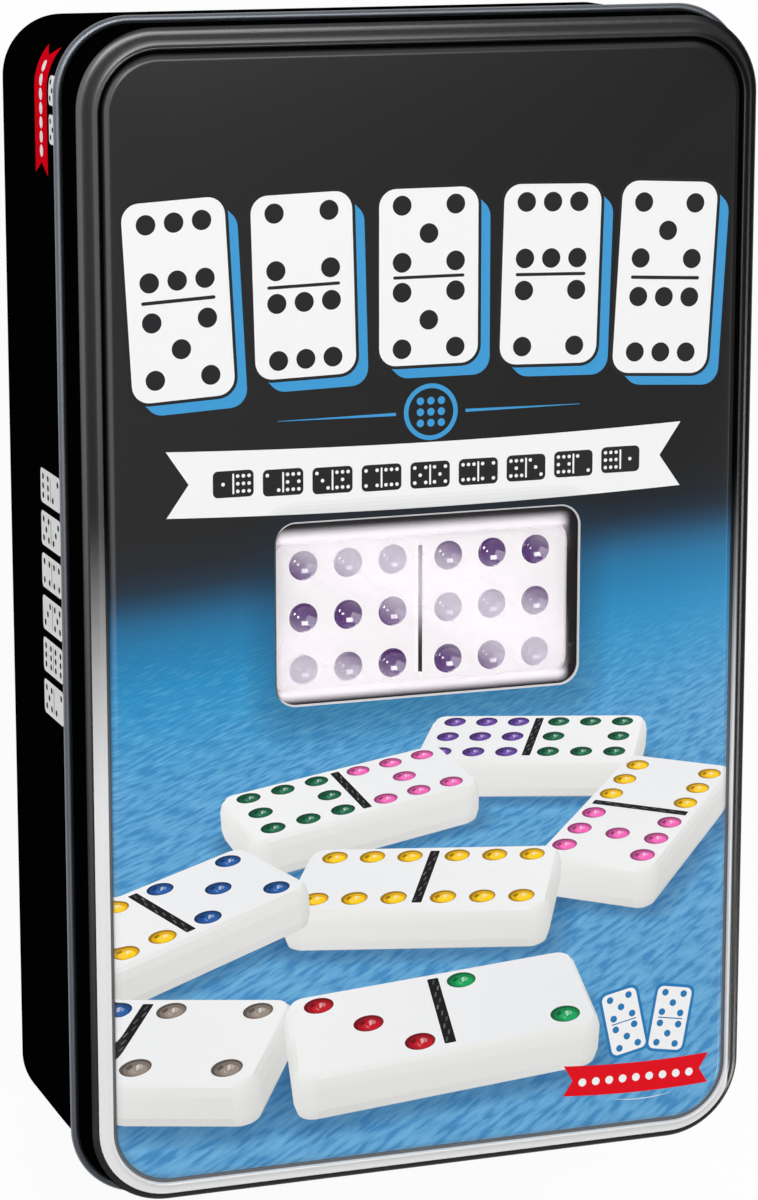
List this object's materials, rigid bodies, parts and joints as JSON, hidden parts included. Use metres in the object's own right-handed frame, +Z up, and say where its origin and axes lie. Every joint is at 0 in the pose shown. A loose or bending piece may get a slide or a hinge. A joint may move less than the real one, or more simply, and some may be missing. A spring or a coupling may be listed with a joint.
{
  "type": "domino storage box",
  "caption": "Flat rectangular tin with a slip-on lid, a window in the lid over a display domino, and a formed tray and cover that hold the stacked dominoes inside.",
  "frame": {"origin": "middle of the underside, on the surface that the box lies on", "axes": "+X across the box, +Y along it towards the top of the lid's print, +Z up through the lid"},
  "size_m": [0.1144, 0.1884, 0.05],
  "materials": {
    "black_tinplate": "gloss black lacquer on tinplate",
    "printed_tinplate": "satin printed tinplate, black fading to blue, with a gloss black to bright metal rim",
    "clear_film": "clear gloss film",
    "formed_black": "semi-gloss black vacuum-formed sheet",
    "domino": "polished ivory-white moulding with coloured pips"
  },
  "bodies": {
    "base": {"base_shell": "black_tinplate"},
    "tray": {"insert_tray": "formed_black"},
    "layer_1": {"domino_0_0": "domino", "domino_1_0": "domino", "domino_1_1": "domino", "domino_2_0": "domino", "domino_2_1": "domino", "domino_2_2": "domino", "domino_3_0": "domino", "domino_3_1": "domino", "domino_3_2": "domino", "domino_3_3": "domino", "domino_4_0": "domino", "domino_4_1": "domino", "domino_4_2": "domino", "domino_4_3": "domino"},
    "layer_2": {"domino_4_4": "domino", "domino_5_0": "domino", "domino_5_1": "domino", "domino_5_2": "domino", "domino_5_3": "domino", "domino_5_4": "domino", "domino_5_5": "domino", "domino_6_0": "domino", "domino_6_1": "domino", "domino_6_2": "domino", "domino_6_3": "domino", "domino_6_4": "domino", "domino_6_5": "domino", "domino_6_6": "domino"},
    "layer_3": {"domino_7_0": "domino", "domino_7_1": "domino", "domino_7_2": "domino", "domino_7_3": "domino", "domino_7_4": "domino", "domino_7_5": "domino", "domino_7_6": "domino", "domino_7_7": "domino", "domino_8_0": "domino", "domino_8_1": "domino", "domino_8_2": "domino", "domino_8_3": "domino", "domino_8_4": "domino", "domino_8_5": "domino"},
    "layer_4": {"domino_8_6": "domino", "domino_8_7": "domino", "domino_8_8": "domino", "domino_9_0": "domino", "domino_9_1": "domino", "domino_9_2": "domino", "domino_9_3": "domino", "domino_9_4": "domino", "domino_9_5": "domino", "domino_9_6": "domino", "domino_9_7": "domino", "domino_9_8": "domino"},
    "cover": {"tray_cover": "formed_black"},
    "shown_domino": {"domino_9_9": "domino"},
    "lid": {"lid_shell": "printed_tinplate", "window_pane": "clear_film"}
  },
  "joints": [
    {"name": "tray_lift", "type": "slide", "parent": "base", "child": "tray", "axis": [0, 0, 1], "range_m": [0, 0.05]},
    {"name": "layer_1_lift", "type": "slide", "parent": "tray", "child": "layer_1", "axis": [0, 0, 1], "range_m": [0, 0.05]},
    {"name": "layer_2_lift", "type": "slide", "parent": "layer_1", "child": "layer_2", "axis": [0, 0, 1], "range_m": [0, 0.041]},
    {"name": "layer_3_lift", "type": "slide", "parent": "layer_2", "child": "layer_3", "axis": [0, 0, 1], "range_m": [0, 0.032]},
    {"name": "layer_4_lift", "type": "slide", "parent": "layer_3", "child": "layer_4", "axis": [0, 0, 1], "range_m": [0, 0.023]},
    {"name": "cover_lift", "type": "slide", "parent": "layer_4", "child": "cover", "axis": [0, 0, 1], "range_m": [0, 0.014]},
    {"name": "shown_domino_lift", "type": "slide", "parent": "cover", "child": "shown_domino", "axis": [0, 0, 1], "range_m": [0, 0.012]},
    {"name": "lid_lift", "type": "slide", "parent": "shown_domino", "child": "lid", "axis": [0, 0, 1], "range_m": [0, 0.02]}
  ]
}
